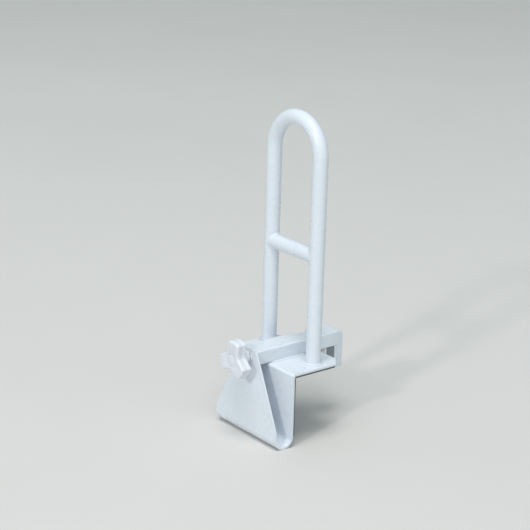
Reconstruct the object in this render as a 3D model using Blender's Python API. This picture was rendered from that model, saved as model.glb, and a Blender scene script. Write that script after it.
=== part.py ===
# Clamp-on grab rail for a bath wall.
# A hoop of round tube with one crossbar stands on a folded sheet bracket that hooks over the wall.
# A star knob turns a captive screw; the screw's nut draws a sliding jaw against the far side of the wall.
#
# Frame: metres, +Z up, X along the wall, +Y into the bath, knob on the -Y side.
# Origin: centre of the underside of the rubber rim pad, the face that rests on top of the wall.
import math

import bpy
import bmesh

MM = 0.001

# ---------------------------------------------------------------- driving dimensions (millimetres)
GAP = 0.3                    # clearance between pieces that touch

# Heights are above the underside of the rim pad; Y is measured from the centre of that pad.
PAD_THICK = 3.0
SHEET = 3.0                  # bracket sheet thickness
PLATE_TOP = PAD_THICK + GAP + SHEET          # top face of the rim plate
OUTER_Y = -49.0              # outer face of the upright sheet
PLATE_DEPTH = 92.5           # rim plate, from the outer face to the far edge
PLATE_WIDTH = 147.2
PLATE_CUT_X = 16.8           # sloping cut across each far corner, along X
PLATE_CUT_Y = 13.5           # the same cut along Y
FOLD_OUTER = 4.0             # outer radius of the rim fold
DROP = 97.0                  # plate top to the start of the return bend
RETURN_INNER = 12.0          # inner radius of the return bend
FRONT_HALF = 69.8            # half width of the front sheet at its foot
FRONT_STRAIGHT = 11.0        # height of the parallel foot of the front sheet
FRONT_TOP_Y = OUTER_Y - 25.0     # outer face of the front sheet behind the knob
FRONT_UPRIGHT = 30.0         # height of the part of the front sheet that stands upright

TUBE_R = 11.1                # rail tube, 22.2 mm outside diameter
TUBE_WALL = 1.6
UPRIGHT_X = 51.1
UPRIGHT_Y = OUTER_Y + 54.5
RAIL_TOP = 362.7             # top of the hoop above the rim plate
CROSSBAR_Z = 159.5           # crossbar axis above the rim plate

SLEEVE_W = 34.8
SLEEVE_H = 22.0
SLEEVE_WALL = 2.0
SLEEVE_FAR = OUTER_Y + 70.0
SLEEVE_CORNER = 2.5

ARM_CLEAR = 0.4              # sliding clearance between arm and sleeve
ARM_WALL = 2.0
ARM_NEAR = OUTER_Y + 1.0
ARM_FAR = OUTER_Y + 126.0
ARM_CORNER = 1.8

JAW_NEAR = OUTER_Y + 95.0
JAW_FAR = OUTER_Y + 141.1
JAW_WALL = 2.0
JAW_BEND = 8.0
JAW_FLANGE_Y = OUTER_Y + 129.2   # near edge of the flanges on the hanging leg
JAW_FOOT = -28.3             # lower end of the hanging leg
JAW_SCREWS = (-1.5, -19.5)       # heights of the two pad screws
CARRIER = 4.0                # thickness of the plate behind the rubber block

GRIP_FACE = OUTER_Y + 108.0      # gripping face of the jaw
FACING = 1.2                     # thickness of the white facing on the rubber block
BLOCK_FACE = GRIP_FACE + FACING + GAP
BLOCK_HALF = 17.0
BLOCK_FOOT = JAW_FOOT + 0.6

SCREW_R = 5.0                # clamp screw, 10 mm trapezoidal thread, 3 mm pitch
SCREW_FAR = OUTER_Y + 58.0
SCREW_BORE = SCREW_R + GAP
NUT_LENGTH = 16.0

KNOB_LOBES = 3
KNOB_PHASE = 82.0            # direction of the first lobe, degrees from +X towards +Z
LOBE_REACH = 28.8            # axis to a lobe's end, which is an arc about the axis
LOBE_SIDE = 13.3             # axis to the line of a lobe's flat side
LOBE_TAPER = 5.0             # degrees that each side closes in towards the end
LOBE_CORNER = 3.5
HOLLOW_R = 9.0               # hollow between two lobes
KNOB_FACE = OUTER_Y - 55.5
KNOB_BACK = OUTER_Y - 39.0
KNOB_ROUND = 2.4
HUB_R = 10.8
CAP_R = 9.0

# ---------------------------------------------------------------- derived levels
SLEEVE_LOW = PLATE_TOP + GAP
SLEEVE_TOP = SLEEVE_LOW + SLEEVE_H
AXIS_Z = SLEEVE_LOW + SLEEVE_H / 2.0
SLEEVE_IN_W = SLEEVE_W - 2.0 * SLEEVE_WALL
SLEEVE_IN_H = SLEEVE_H - 2.0 * SLEEVE_WALL
ARM_W = SLEEVE_IN_W - 2.0 * ARM_CLEAR
ARM_H = SLEEVE_IN_H - 2.0 * ARM_CLEAR
FRONT_IN_Y = FRONT_TOP_Y + SHEET
FRONT_TOP_Z = SLEEVE_TOP
FRONT_BREAK_Z = FRONT_TOP_Z - FRONT_UPRIGHT
RETURN_Z = PLATE_TOP - DROP
RETURN_Y = OUTER_Y - RETURN_INNER
HOOP_R = UPRIGHT_X
HOOP_Z = PLATE_TOP + RAIL_TOP - TUBE_R - HOOP_R
BAR_Z = PLATE_TOP + CROSSBAR_Z

AROUND = 20                  # facets round the rail tube

# ---------------------------------------------------------------- clear the file
for old in list(bpy.data.objects):
    bpy.data.objects.remove(old, do_unlink=True)


# ---------------------------------------------------------------- helpers
def material(name, colour, metallic, roughness):
    mat = bpy.data.materials.new(name)
    mat.use_nodes = True
    shader = mat.node_tree.nodes["Principled BSDF"]
    shader.inputs["Base Color"].default_value = (colour[0], colour[1], colour[2], 1.0)
    shader.inputs["Metallic"].default_value = metallic
    shader.inputs["Roughness"].default_value = roughness
    return mat


WHITE = ((0.80, 0.84, 0.87), 0.0, 0.35)
PLASTIC = ((0.82, 0.83, 0.84), 0.0, 0.30)
STEEL = ((0.62, 0.63, 0.65), 1.0, 0.32)
RUBBER = ((0.10, 0.11, 0.12), 0.0, 0.80)
PALE_RUBBER = ((0.80, 0.81, 0.82), 0.0, 0.70)
NYLON = ((0.78, 0.77, 0.72), 0.0, 0.45)


def finish_object(name, bm, look, pivot=None):
    """Turn a bmesh in millimetres into a named object in metres, faces outward."""
    bmesh.ops.remove_doubles(bm, verts=bm.verts, dist=0.02)
    bmesh.ops.recalc_face_normals(bm, faces=bm.faces)
    shift = pivot if pivot else (0.0, 0.0, 0.0)
    for vert in bm.verts:
        vert.co.x = (vert.co.x - shift[0]) * MM
        vert.co.y = (vert.co.y - shift[1]) * MM
        vert.co.z = (vert.co.z - shift[2]) * MM
    mesh = bpy.data.meshes.new(name)
    bm.to_mesh(mesh)
    bm.free()
    obj = bpy.data.objects.new(name, mesh)
    obj.location = (shift[0] * MM, shift[1] * MM, shift[2] * MM)
    bpy.context.scene.collection.objects.link(obj)
    mesh.materials.append(material(name + "_mat", *look))
    return obj


def loft(rings, cyclic=False, close_ring=True):
    """Skin a list of equal rings; a cyclic loft joins the last ring to the first."""
    bm = bmesh.new()
    rows = []
    for ring in rings:
        rows.append([bm.verts.new(point) for point in ring])
    count = len(rows[0])
    spans = len(rows) if cyclic else len(rows) - 1
    for i in range(spans):
        near = rows[i]
        far = rows[(i + 1) % len(rows)]
        for j in range(count if close_ring else count - 1):
            k = (j + 1) % count
            bm.faces.new((near[j], near[k], far[k], far[j]))
    if not cyclic:
        bm.faces.new(rows[0])
        bm.faces.new(list(reversed(rows[-1])))
    return bm


def circle_y(radius, y, count, cx=0.0, cz=0.0, turn=0.0):
    """Ring about an axis parallel to Y."""
    ring = []
    for i in range(count):
        angle = 2.0 * math.pi * i / count + turn
        ring.append((cx + radius * math.cos(angle), y, cz + radius * math.sin(angle)))
    return ring


def polygon_y(sides, flats, y, count, cx, cz):
    """Ring with the outline of a regular polygon, sampled evenly by angle."""
    ring = []
    half = math.pi / sides
    for i in range(count):
        angle = 2.0 * math.pi * i / count
        local = (angle % (2.0 * half)) - half
        radius = 0.5 * flats / math.cos(local)
        ring.append((cx + radius * math.cos(angle), y, cz + radius * math.sin(angle)))
    return ring


def rounded_rect(width, height, radius, steps):
    """Outline of a rectangle with rounded corners, centred on zero."""
    points = []
    corners = ((1, 1, 0.0), (-1, 1, 90.0), (-1, -1, 180.0), (1, -1, 270.0))
    for sx, sz, start in corners:
        cx = sx * (width / 2.0 - radius)
        cz = sz * (height / 2.0 - radius)
        for i in range(steps + 1):
            angle = math.radians(start + 90.0 * i / steps)
            points.append((cx + radius * math.cos(angle), cz + radius * math.sin(angle)))
    return points


def rect_tube_y(width, height, wall, corner, y0, y1, cz):
    """Rectangular tube along Y, open at both ends."""
    outer = rounded_rect(width, height, corner, 3)
    inner = rounded_rect(width - 2 * wall, height - 2 * wall, max(corner - wall, 0.5), 3)
    rings = []
    for loop, y in ((outer, y0), (outer, y1), (inner, y1), (inner, y0)):
        rings.append([(p[0], y, cz + p[1]) for p in loop])
    return loft(rings, cyclic=True)


def prism_x(profile, x0, x1):
    """Extrude a closed Y-Z outline along X."""
    return loft([[(x0, p[0], p[1]) for p in profile], [(x1, p[0], p[1]) for p in profile]])


def box(x0, x1, y0, y1, z0, z1, ease):
    """Block with eased long edges, drawn as a stack of octagonal rings."""
    rings = []
    for y, inset in ((y0, ease), (y0 + ease, 0.0), (y1 - ease, 0.0), (y1, ease)):
        xa = x0 + inset
        xb = x1 - inset
        za = z0 + inset
        zb = z1 - inset
        ring = [(xa + ease, y, za), (xb - ease, y, za), (xb, y, za + ease), (xb, y, zb - ease)]
        ring += [(xb - ease, y, zb), (xa + ease, y, zb), (xa, y, zb - ease), (xa, y, za + ease)]
        rings.append(ring)
    return loft(rings)


def cut(target, cutters):
    """Subtract closed meshes (given as bmeshes in millimetres) from an object."""
    for index, cutter_bm in enumerate(cutters):
        tool = finish_object(target.name + "_cut%d" % index, cutter_bm, WHITE)
        tool.location.x -= target.location.x
        tool.location.y -= target.location.y
        tool.location.z -= target.location.z
        tool.hide_render = True
        tool.display_type = "WIRE"
        modifier = target.modifiers.new("cut", "BOOLEAN")
        modifier.operation = "DIFFERENCE"
        modifier.solver = "EXACT"
        modifier.object = tool
        home = target.location.copy()
        target.location = (0.0, 0.0, 0.0)
        bpy.context.view_layer.update()
        graph = bpy.context.evaluated_depsgraph_get()
        result = bpy.data.meshes.new_from_object(target.evaluated_get(graph))
        target.modifiers.clear()
        old = target.data
        target.data = result
        target.location = home
        bpy.data.meshes.remove(old)
        name = tool.data.name
        bpy.data.objects.remove(tool, do_unlink=True)
        bpy.data.meshes.remove(bpy.data.meshes[name])
        for mat in list(bpy.data.materials):
            if mat.users == 0:
                bpy.data.materials.remove(mat)


def rod_y(radius, y0, y1, count, cx=0.0, cz=0.0, chamfer=0.0):
    """Solid cylinder along Y with optional end chamfers."""
    if chamfer > 0.0:
        small = radius - chamfer
        steps = ((y0, small), (y0 + chamfer, radius), (y1 - chamfer, radius), (y1, small))
    else:
        steps = ((y0, radius), (y1, radius))
    return loft([circle_y(r, y, count, cx, cz) for y, r in steps])


def ring_y(outer, inner, y0, y1, count, cz, ease=0.0):
    """Washer along Y."""
    loops = [(outer - ease, y0), (outer, y0 + ease), (outer, y1 - ease), (outer - ease, y1)]
    if ease == 0.0:
        loops = [(outer, y0), (outer, y1)]
    loops += [(inner, y1), (inner, y0)]
    return loft([circle_y(r, y, count, 0.0, cz) for r, y in loops], cyclic=True)


# ---------------------------------------------------------------- rail hoop and crossbar
def hoop_stations():
    """Centre line of the hoop: point and outward direction in the X-Z plane."""
    stations = [((-UPRIGHT_X, PLATE_TOP + GAP), (-1.0, 0.0))]
    steps = 24
    for i in range(steps + 1):
        angle = math.pi - math.pi * i / steps
        direction = (math.cos(angle), math.sin(angle))
        centre = (HOOP_R * direction[0], HOOP_Z + HOOP_R * direction[1])
        stations.append((centre, direction))
    stations.append(((UPRIGHT_X, PLATE_TOP + GAP), (1.0, 0.0)))
    return stations


def tube_ring(centre, direction, radius):
    ring = []
    for i in range(AROUND):
        angle = 2.0 * math.pi * i / AROUND
        out = radius * math.cos(angle)
        side = radius * math.sin(angle)
        ring.append((centre[0] + direction[0] * out, UPRIGHT_Y + side, centre[1] + direction[1] * out))
    return ring


path = hoop_stations()
rings = [tube_ring(c, d, TUBE_R) for c, d in path]
rings += [tube_ring(c, d, TUBE_R - TUBE_WALL) for c, d in reversed(path)]
finish_object("rail_hoop", loft(rings, cyclic=True), WHITE)


def coped_ring(side, radius):
    """End of the crossbar, cut to the round of the upright it meets."""
    ring = []
    for i in range(AROUND):
        angle = 2.0 * math.pi * i / AROUND
        across = radius * math.sin(angle)
        reach = UPRIGHT_X - math.sqrt((TUBE_R + GAP) ** 2 - across ** 2)
        ring.append((side * reach, UPRIGHT_Y + across, BAR_Z + radius * math.cos(angle)))
    return ring


rings = [coped_ring(-1, TUBE_R), coped_ring(1, TUBE_R)]
rings += [coped_ring(1, TUBE_R - TUBE_WALL), coped_ring(-1, TUBE_R - TUBE_WALL)]
finish_object("rail_crossbar", loft(rings, cyclic=True), WHITE)


# ---------------------------------------------------------------- weld beads on the rail
def upright_bead(side):
    """Fillet round the foot of an upright."""
    rings = []
    leg = 2.6
    inner = TUBE_R + GAP
    low = PLATE_TOP + GAP
    count = 24
    profile = ((inner, low), (inner + leg, low), (inner + leg * 0.55, low + leg * 0.55), (inner, low + leg))
    for i in range(count):
        angle = 2.0 * math.pi * i / count
        ring = []
        for radius, z in profile:
            x = side * UPRIGHT_X + radius * math.cos(angle)
            ring.append((x, UPRIGHT_Y + radius * math.sin(angle), z))
        rings.append(ring)
    return loft(rings, cyclic=True)


def crossbar_bead(side):
    """Bead that follows the saddle where the crossbar meets an upright."""
    bead = 1.1
    away = TUBE_R + GAP + bead
    count = 32
    centres = []
    for i in range(count):
        angle = 2.0 * math.pi * i / count
        across = away * math.sin(angle)
        reach = UPRIGHT_X - away * abs(math.cos(angle))
        centres.append((side * reach, UPRIGHT_Y + across, BAR_Z + away * math.cos(angle)))
    rings = []
    for i in range(count):
        here = centres[i]
        before = centres[i - 1]
        after = centres[(i + 1) % count]
        tangent = [after[k] - before[k] for k in range(3)]
        length = math.sqrt(sum(t * t for t in tangent))
        tangent = [t / length for t in tangent]
        spoke = (0.0, here[1] - UPRIGHT_Y, here[2] - BAR_Z)
        dot = sum(spoke[k] * tangent[k] for k in range(3))
        out = [spoke[k] - dot * tangent[k] for k in range(3)]
        length = math.sqrt(sum(t * t for t in out))
        out = [t / length for t in out]
        third = (tangent[1] * out[2] - tangent[2] * out[1],
                 tangent[2] * out[0] - tangent[0] * out[2],
                 tangent[0] * out[1] - tangent[1] * out[0])
        ring = []
        for j in range(6):
            angle = 2.0 * math.pi * j / 6
            a = bead * math.cos(angle)
            b = bead * math.sin(angle)
            ring.append(tuple(here[k] + a * out[k] + b * third[k] for k in range(3)))
        rings.append(ring)
    return loft(rings, cyclic=True)


for label, side in (("left", -1), ("right", 1)):
    finish_object("weld_upright_" + label, upright_bead(side), WHITE)
    finish_object("weld_crossbar_" + label, crossbar_bead(side), WHITE)


# ---------------------------------------------------------------- folded bracket
def bracket_stations():
    """Point on the upper face, direction through the sheet and half width, along the strip."""
    half = PLATE_WIDTH / 2.0
    far = OUTER_Y + PLATE_DEPTH
    stations = []
    flat = (0.0, -1.0)
    stations.append(((far, PLATE_TOP), flat, half - PLATE_CUT_X - 1.0))
    stations.append(((far - 0.6, PLATE_TOP), flat, half - PLATE_CUT_X + 0.9))
    stations.append(((far - PLATE_CUT_Y + 1.2, PLATE_TOP), flat, half - 1.4))
    stations.append(((far - PLATE_CUT_Y - 0.2, PLATE_TOP), flat, half - 0.3))
    stations.append(((far - PLATE_CUT_Y - 1.5, PLATE_TOP), flat, half))
    for i in range(7):
        angle = math.radians(90.0 + 15.0 * i)
        direction = (math.cos(angle), math.sin(angle))
        y = OUTER_Y + FOLD_OUTER + FOLD_OUTER * direction[0]
        z = PLATE_TOP - FOLD_OUTER + FOLD_OUTER * direction[1]
        stations.append(((y, z), (-direction[0], -direction[1]), half))
    steps = 14
    for i in range(steps + 1):
        share = i / steps
        angle = math.radians(-180.0 * share)
        direction = (math.cos(angle), math.sin(angle))
        y = RETURN_Y + RETURN_INNER * direction[0]
        z = RETURN_Z + RETURN_INNER * direction[1]
        width = half + (FRONT_HALF - half) * share
        stations.append(((y, z), direction, width))
    foot_y = RETURN_Y - RETURN_INNER
    tall = FRONT_BREAK_Z - RETURN_Z
    top_half = SLEEVE_W / 2.0
    slope_start = RETURN_Z + FRONT_STRAIGHT
    slope_tall = FRONT_TOP_Z - slope_start

    def front_width(z):
        if z <= slope_start:
            return FRONT_HALF
        return FRONT_HALF + (top_half - FRONT_HALF) * (z - slope_start) / slope_tall

    tilt = math.atan2(FRONT_IN_Y - foot_y, tall)
    outward = (-math.cos(tilt), math.sin(tilt))
    for z in (slope_start, slope_start + 0.5 * (FRONT_BREAK_Z - slope_start), FRONT_BREAK_Z):
        y = foot_y + (FRONT_IN_Y - foot_y) * (z - RETURN_Z) / tall
        direction = outward if z < FRONT_BREAK_Z else (-math.cos(tilt / 2), math.sin(tilt / 2))
        stations.append(((y, z), direction, front_width(z)))
    stations.append(((FRONT_IN_Y, FRONT_TOP_Z), (-1.0, 0.0), top_half))
    return stations


rings = []
for point, direction, half_width in bracket_stations():
    other = (point[0] + direction[0] * SHEET, point[1] + direction[1] * SHEET)
    rings.append([(-half_width, point[0], point[1]), (half_width, point[0], point[1]),
                  (half_width, other[0], other[1]), (-half_width, other[0], other[1])])
bracket = finish_object("folded_bracket", loft(rings), WHITE)
cut(bracket, [rod_y(SCREW_R + 0.6, FRONT_TOP_Y - 2.0, FRONT_IN_Y + 2.0, 24, 0.0, AXIS_Z)])

# ---------------------------------------------------------------- sleeve and its welds
finish_object("guide_sleeve",
              rect_tube_y(SLEEVE_W, SLEEVE_H, SLEEVE_WALL, SLEEVE_CORNER,
                          FRONT_IN_Y + GAP, SLEEVE_FAR, AXIS_Z), WHITE)


def sleeve_bead(side):
    """Straight fillet between the sleeve wall and the rim plate."""
    leg = 2.4
    near = side * (SLEEVE_W / 2.0 + GAP)
    low = PLATE_TOP + GAP
    shape = ((0.0, 0.0), (leg, 0.0), (leg * 0.55, leg * 0.55), (0.0, leg))
    rings = []
    for y in (OUTER_Y + 5.0, SLEEVE_FAR - 2.0):
        rings.append([(near + side * a, y, low + b) for a, b in shape])
    return loft(rings)


for label, side in (("left", -1), ("right", 1)):
    finish_object("weld_sleeve_" + label, sleeve_bead(side), WHITE)


def front_bead():
    """Bead along the top edge where the front sheet closes the sleeve."""
    leg = 1.6
    low = SLEEVE_TOP + GAP
    y0 = FRONT_TOP_Y + 0.8
    y1 = FRONT_IN_Y + GAP + 2.2
    half = SLEEVE_W / 2.0 - 2.6
    shape = ((y0, low), (y0 + 0.8, low + leg * 0.6), (y1 - 0.8, low + leg * 0.6), (y1, low))
    return prism_x(shape, -half, half)


finish_object("weld_sleeve_front", front_bead(), WHITE)

# ---------------------------------------------------------------- rubber liners of the bracket
RIM_NEAR = OUTER_Y + SHEET + GAP + PAD_THICK + GAP
RIM_FAR = -RIM_NEAR
PAD_HALF = PLATE_WIDTH / 2.0 - 1.6


def rim_liner():
    """Flat liner with the same sloping far corners as the plate above it."""
    cut_x = PLATE_CUT_X - 1.0
    cut_y = PLATE_CUT_Y - 0.8
    rings = []
    for z, inset in ((0.0, 0.4), (0.4, 0.0), (PAD_THICK - 0.4, 0.0), (PAD_THICK, 0.4)):
        half = PAD_HALF - inset
        near = RIM_NEAR + inset
        far = RIM_FAR - inset
        outline = [(-half, near), (half, near), (half, far - cut_y), (half - cut_x, far)]
        outline += [(cut_x - half, far), (-half, far - cut_y)]
        rings.append([(x, y, z) for x, y in outline])
    return loft(rings)


finish_object("rim_pad", rim_liner(), RUBBER)
finish_object("wall_pad",
              box(-PAD_HALF, PAD_HALF, OUTER_Y + SHEET + GAP, OUTER_Y + SHEET + GAP + PAD_THICK,
                  RETURN_Z + 2.0, -0.6, 0.4), RUBBER)

# ---------------------------------------------------------------- sliding arm and jaw
finish_object("clamp_arm",
              rect_tube_y(ARM_W, ARM_H, ARM_WALL, ARM_CORNER, ARM_NEAR, ARM_FAR, AXIS_Z), WHITE)


def nut_block():
    """Threaded block that fills the near end of the arm."""
    count = 24
    wide = (ARM_W - 2 * ARM_WALL) / 2.0 - GAP
    tall = (ARM_H - 2 * ARM_WALL) / 2.0 - GAP
    y0 = ARM_NEAR + 0.5
    y1 = y0 + NUT_LENGTH
    outline = []
    for i in range(count):
        angle = 2.0 * math.pi * i / count
        c = math.cos(angle)
        s = math.sin(angle)
        reach = min(wide / abs(c) if abs(c) > 1e-6 else 1e9, tall / abs(s) if abs(s) > 1e-6 else 1e9)
        outline.append((reach * c, reach * s))
    corner = math.atan2(tall, wide)
    for base in (corner, math.pi - corner, math.pi + corner, 2.0 * math.pi - corner):
        nearest = min(range(count), key=lambda n: abs(2.0 * math.pi * n / count - base))
        outline[nearest] = (math.copysign(wide, math.cos(base)), math.copysign(tall, math.sin(base)))
    rings = []
    rings.append([(p[0], y0, AXIS_Z + p[1]) for p in outline])
    rings.append([(p[0], y1, AXIS_Z + p[1]) for p in outline])
    rings.append(circle_y(SCREW_BORE, y1, count, 0.0, AXIS_Z))
    rings.append(circle_y(SCREW_BORE, y0, count, 0.0, AXIS_Z))
    return loft(rings, cyclic=True)


finish_object("nut_block", nut_block(), STEEL)


def jaw_outline(offset):
    """Outer edge of the jaw's side plate, moved inward by offset."""
    points = [(JAW_NEAR, SLEEVE_TOP - offset)]
    radius = JAW_BEND - offset
    for i in range(9):
        angle = math.radians(90.0 - 90.0 * i / 8)
        y = JAW_FAR - JAW_BEND + radius * math.cos(angle)
        z = SLEEVE_TOP - JAW_BEND + radius * math.sin(angle)
        points.append((y, z))
    points.append((JAW_FAR - offset, JAW_FOOT))
    return points


LOW_EDGE = SLEEVE_LOW + GAP
side_plate = jaw_outline(0.0)
side_plate.append((JAW_FLANGE_Y, JAW_FOOT))
for i in range(4):
    angle = math.radians(30.0 * i)
    side_plate.append((JAW_FLANGE_Y - 1.0 + math.cos(angle), LOW_EDGE - 1.0 + math.sin(angle)))
side_plate.append((JAW_NEAR, LOW_EDGE))

pocket = jaw_outline(JAW_WALL)
pocket[0] = (JAW_NEAR - 1.0, SLEEVE_TOP - JAW_WALL)
pocket[-1] = (JAW_FAR - JAW_WALL, JAW_FOOT - 1.0)
pocket.append((JAW_FLANGE_Y - 1.5, JAW_FOOT - 1.0))
pocket.append((JAW_FLANGE_Y - 1.5, LOW_EDGE - 1.0))
pocket.append((JAW_NEAR - 1.0, LOW_EDGE - 1.0))

jaw_half = SLEEVE_W / 2.0
jaw = finish_object("jaw_bracket", prism_x(side_plate, -jaw_half, jaw_half), WHITE)
jaw_cuts = [prism_x(pocket, -jaw_half + JAW_WALL, jaw_half - JAW_WALL)]
for level in JAW_SCREWS:
    jaw_cuts.append(rod_y(2.8, JAW_FAR - JAW_WALL - 2.0, JAW_FAR + 2.0, 16, 0.0, level))
cut(jaw, jaw_cuts)


def arm_bead():
    """Bead over the top and sides of the arm where the jaw is welded to it."""
    y1 = JAW_NEAR - GAP
    y0 = y1 - 1.8
    inner = GAP
    thick = 1.5
    half = ARM_W / 2.0
    top = AXIS_Z + ARM_H / 2.0
    low = AXIS_Z - ARM_H / 2.0 + 2.5
    rings = []
    centres = [(half, low, 0.0)]
    for start, sx in ((0.0, 1), (90.0, -1)):
        for i in range(4):
            angle = start + 30.0 * i
            cx = sx * (half - ARM_CORNER)
            centres.append((cx, top - ARM_CORNER, angle))
    centres.append((-half, low, 180.0))
    for index, (cx, cz, angle) in enumerate(centres):
        c = math.cos(math.radians(angle))
        s = math.sin(math.radians(angle))
        base = 0.0 if index in (0, len(centres) - 1) else ARM_CORNER
        ring = []
        for reach, y in ((inner, y0), (inner, y1), (inner + thick, y1), (inner + 0.5 * thick, y0 + 0.5)):
            r = base + reach
            ring.append((cx + r * c, y, cz + r * s))
        rings.append(ring)
    return loft(rings)


finish_object("weld_arm_jaw", arm_bead(), WHITE)

# ---------------------------------------------------------------- rubber block of the jaw
CARRIER_Y1 = JAW_FLANGE_Y - GAP
CARRIER_Y0 = CARRIER_Y1 - CARRIER
block = finish_object("jaw_pad",
                      box(-BLOCK_HALF, BLOCK_HALF, BLOCK_FACE, CARRIER_Y0 - GAP,
                          BLOCK_FOOT, LOW_EDGE - GAP, 0.6), RUBBER)
block_cuts = []
for level in JAW_SCREWS:
    block_cuts.append(rod_y(2.8, CARRIER_Y0 - GAP - 8.0, CARRIER_Y0 + 2.0, 16, 0.0, level))
cut(block, block_cuts)

finish_object("pad_facing",
              box(-BLOCK_HALF, BLOCK_HALF, GRIP_FACE, GRIP_FACE + FACING,
                  BLOCK_FOOT, LOW_EDGE - GAP, 0.3), PALE_RUBBER)

backing = finish_object("pad_plate",
                        box(-jaw_half, jaw_half, CARRIER_Y0, CARRIER_Y1,
                            JAW_FOOT, LOW_EDGE - GAP, 0.4), WHITE)
plate_cuts = []
for level in JAW_SCREWS:
    plate_cuts.append(rod_y(2.8, CARRIER_Y0 - 2.0, CARRIER_Y1 + 2.0, 16, 0.0, level))
cut(backing, plate_cuts)


def pad_screw(level):
    """Round-head screw that holds the block to the jaw."""
    head = JAW_FAR + GAP
    steps = ((CARRIER_Y0 - 7.0, 2.0), (CARRIER_Y0 - 6.5, 2.5), (head, 2.5), (head, 4.6),
             (head + 1.0, 4.6), (head + 2.0, 3.6), (head + 2.5, 1.6))
    return loft([circle_y(r, y, 16, 0.0, level) for y, r in steps])


for label, level in (("upper", JAW_SCREWS[0]), ("lower", JAW_SCREWS[1])):
    finish_object("pad_screw_" + label, pad_screw(level), STEEL)
    spacer = ring_y(4.6, 2.8, CARRIER_Y1 + GAP, JAW_FAR - JAW_WALL - GAP, 16, level)
    finish_object("pad_spacer_" + label, spacer, STEEL)

# ---------------------------------------------------------------- knob and screw
PIVOT = (0.0, FRONT_TOP_Y, AXIS_Z)
HEAD_FLATS = 15.0
RECESS_FLOOR = KNOB_FACE + 8.8
NYLON_Y = FRONT_TOP_Y - GAP
WASHER_Y = NYLON_Y - 1.5 - GAP
HUB_END = WASHER_Y - 1.5 - GAP
CLIP_Y = FRONT_IN_Y + GAP


def clamp_screw():
    """Captive screw: hex head, plain neck, clip groove and threaded length."""
    count = 24
    head0 = KNOB_FACE + 3.4
    head1 = RECESS_FLOOR - GAP
    groove0 = CLIP_Y - 0.1
    groove1 = CLIP_Y + 1.3
    rings = []
    for y, flats in ((head0, HEAD_FLATS - 1.6), (head0 + 0.8, HEAD_FLATS), (head1, HEAD_FLATS)):
        rings.append(polygon_y(6, flats, y, count, 0.0, AXIS_Z))
    neck = ((head1, SCREW_R), (groove0, SCREW_R), (groove0, SCREW_R - 0.8), (groove1, SCREW_R - 0.8),
            (groove1, SCREW_R), (SCREW_FAR - 1.2, SCREW_R), (SCREW_FAR, SCREW_R - 1.2))
    for y, radius in neck:
        rings.append(circle_y(radius, y, count, 0.0, AXIS_Z))
    return loft(rings)


finish_object("clamp_screw", clamp_screw(), STEEL, PIVOT)


HALF_LOBE = math.pi / KNOB_LOBES
SIDE_NORMAL = math.pi / 2.0 - math.radians(LOBE_TAPER)
CORNER_AT = LOBE_REACH - LOBE_CORNER
END_ANGLE = SIDE_NORMAL - math.acos((LOBE_SIDE - LOBE_CORNER) / CORNER_AT)
HOLLOW_AT = (LOBE_SIDE + HOLLOW_R) / math.cos(SIDE_NORMAL - HALF_LOBE)


def bearing(distance, angle, radius):
    """Direction in which an arc meets the flat side; its centre is at distance and angle from the axis."""
    x = distance * math.cos(angle) + radius * math.cos(SIDE_NORMAL)
    z = distance * math.sin(angle) + radius * math.sin(SIDE_NORMAL)
    return math.atan2(z, x)


def lobe_radius(off, inset):
    """Outline at an angle off the lobe's middle: end arc, corner, flat side, then hollow."""
    corner = LOBE_CORNER - inset
    hollow = HOLLOW_R + inset
    if off < END_ANGLE:
        return LOBE_REACH - inset
    if off < bearing(CORNER_AT, END_ANGLE, corner):
        turn = off - END_ANGLE
        return CORNER_AT * math.cos(turn) + math.sqrt(corner ** 2 - (CORNER_AT * math.sin(turn)) ** 2)
    if off < bearing(HOLLOW_AT, HALF_LOBE, -hollow):
        return (LOBE_SIDE - inset) / math.cos(SIDE_NORMAL - off)
    turn = HALF_LOBE - off
    return HOLLOW_AT * math.cos(turn) - math.sqrt(hollow ** 2 - (HOLLOW_AT * math.sin(turn)) ** 2)


def lobe_stops():
    """Angles across one lobe, closest together where the outline turns most."""
    corner_end = bearing(CORNER_AT, END_ANGLE, LOBE_CORNER)
    hollow_start = bearing(HOLLOW_AT, HALF_LOBE, -HOLLOW_R)
    half = [0.0, END_ANGLE / 2.0]
    half += [END_ANGLE + (corner_end - END_ANGLE) * k / 4 for k in range(5)]
    half.append((corner_end + hollow_start) / 2.0)
    half += [hollow_start + (HALF_LOBE - hollow_start) * k / 5 for k in range(6)]
    return [-off for off in reversed(half[1:-1])] + half


def knob_ring(y, radius_at):
    """Ring of points whose radius depends on the angle off the nearest lobe's middle."""
    ring = []
    for lobe in range(KNOB_LOBES):
        middle = math.radians(KNOB_PHASE) + 2.0 * HALF_LOBE * lobe
        for off in lobe_stops():
            radius = radius_at(abs(off))
            ring.append((radius * math.cos(middle + off), y, AXIS_Z + radius * math.sin(middle + off)))
    return ring


def star_knob():
    rings = []
    for i in range(4):
        angle = math.radians(30.0 * i)
        inset = KNOB_ROUND * (1.0 - math.sin(angle))
        y = KNOB_FACE + KNOB_ROUND * (1.0 - math.cos(angle))
        rings.append(knob_ring(y, lambda off: lobe_radius(off, inset)))
    rings.append(knob_ring(KNOB_BACK - 1.2, lambda off: lobe_radius(off, 0.0)))
    rings.append(knob_ring(KNOB_BACK, lambda off: lobe_radius(off, 1.2)))
    turned = ((HUB_R + 1.0, KNOB_BACK), (HUB_R, KNOB_BACK + 1.0), (HUB_R, HUB_END - 0.6),
              (HUB_R - 0.6, HUB_END), (SCREW_BORE, HUB_END), (SCREW_BORE, RECESS_FLOOR),
              (CAP_R + GAP, RECESS_FLOOR), (CAP_R + GAP, KNOB_FACE))
    for radius, y in turned:
        rings.append(knob_ring(y, lambda off: radius))
    return loft(rings, cyclic=True)


finish_object("star_knob", star_knob(), PLASTIC, PIVOT)


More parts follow.
